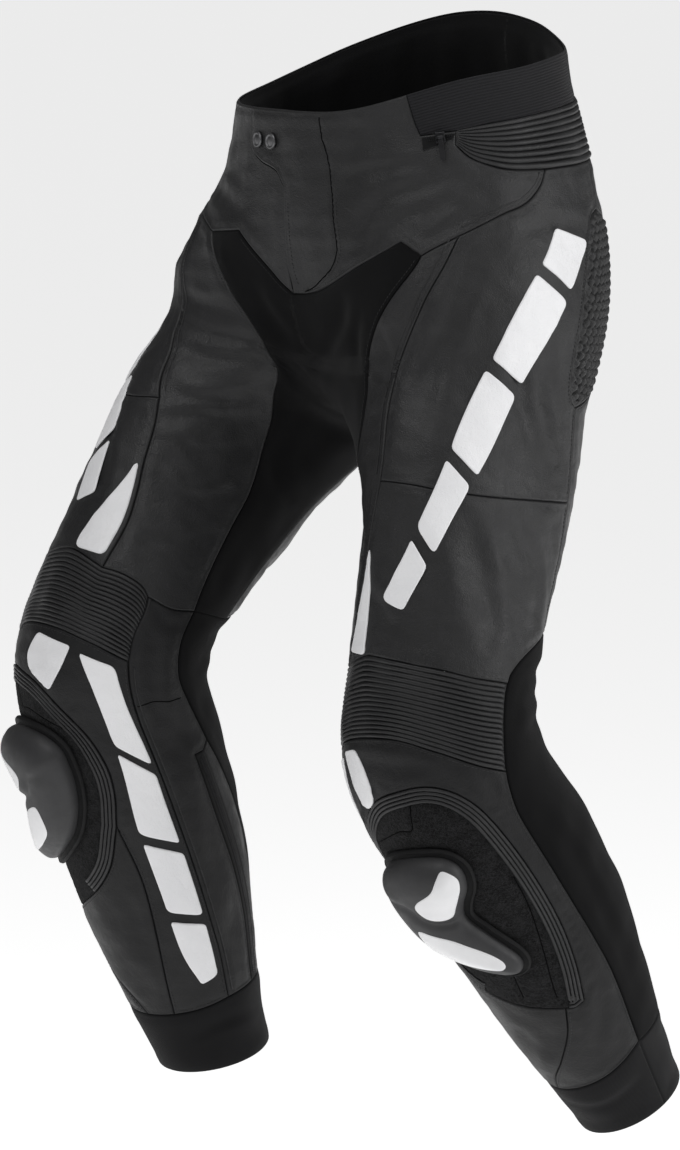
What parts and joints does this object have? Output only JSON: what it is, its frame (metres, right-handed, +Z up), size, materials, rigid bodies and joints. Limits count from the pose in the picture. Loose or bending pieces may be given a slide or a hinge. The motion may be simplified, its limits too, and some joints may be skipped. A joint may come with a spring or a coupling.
{
  "type": "leather riding trousers",
  "caption": "Leather motorcycle riding trousers, filled out in a short stride, with ribbed stretch knees, knee pucks, stretch gusset and calves.",
  "frame": {"origin": "middle of the waist opening, at the height of its front edge, where the wearer's waist holds the trousers", "axes": "+Z up along the standing wearer, wearer faces -Y, +X is the wearer's left"},
  "size_m": [0.4665, 0.4439, 0.9181],
  "materials": {
    "elastic": "fine ribbed elastic",
    "hook_and_loop": "matt loop pile",
    "leather": "semi-matte grained leather",
    "lining": "matt knitted lining",
    "metal": "satin metal",
    "slider_plastic": "satin moulded plastic",
    "stretch": "matt woven stretch cloth",
    "white_leather": "smooth white leather",
    "zip_tape": "matt woven tape"
  },
  "bodies": {
    "trousers": {"calf_inner_L": "leather", "calf_inner_R": "leather", "calf_rear_L": "leather", "calf_rear_R": "leather", "calf_stretch_L": "stretch", "calf_stretch_R": "stretch", "calf_zip_L": "zip_tape", "calf_zip_R": "zip_tape", "crotch_gusset": "stretch", "cuff_L": "stretch", "cuff_R": "stretch", "hip_panel_L": "stretch", "hip_panel_R": "stretch", "joining_zip_slider": "metal", "joining_zip_tape": "zip_tape", "knee_flash_L": "white_leather", "knee_flash_R": "white_leather", "knee_pleats_L": "leather", "knee_pleats_R": "leather", "knee_surround_L": "leather", "knee_surround_R": "leather", "knee_velcro_L": "hook_and_loop", "knee_velcro_R": "hook_and_loop", "lumbar_pleats": "leather", "puck_L": "slider_plastic", "puck_R": "slider_plastic", "puck_plate_L": "slider_plastic", "puck_plate_R": "slider_plastic", "shin_L": "leather", "shin_R": "leather", "shin_stripe_L": "white_leather", "shin_stripe_R": "white_leather", "snap_1": "metal", "snap_2": "metal", "thigh_back_L": "leather", "thigh_back_R": "leather", "thigh_front_L": "leather", "thigh_front_R": "leather", "thigh_outer_lower_L": "leather", "thigh_outer_lower_R": "leather", "thigh_outer_upper_L": "leather", "thigh_outer_upper_R": "leather", "thigh_spear_L": "white_leather", "thigh_spear_R": "white_leather", "thigh_stripe_L": "white_leather", "thigh_stripe_R": "white_leather", "waist_elastic": "elastic", "waist_lining": "lining", "yoke_L": "leather", "yoke_R": "leather"},
    "zip_pull": {"joining_zip_pull": "metal"}
  },
  "joints": [
    {"name": "zip_pull_hinge", "type": "hinge", "parent": "trousers", "child": "zip_pull", "pos_m": [0.13686, -0.07601, -0.01714], "axis": [-0.6361, -0.7621, -0.1209], "range_deg": [0, 160]}
  ]
}
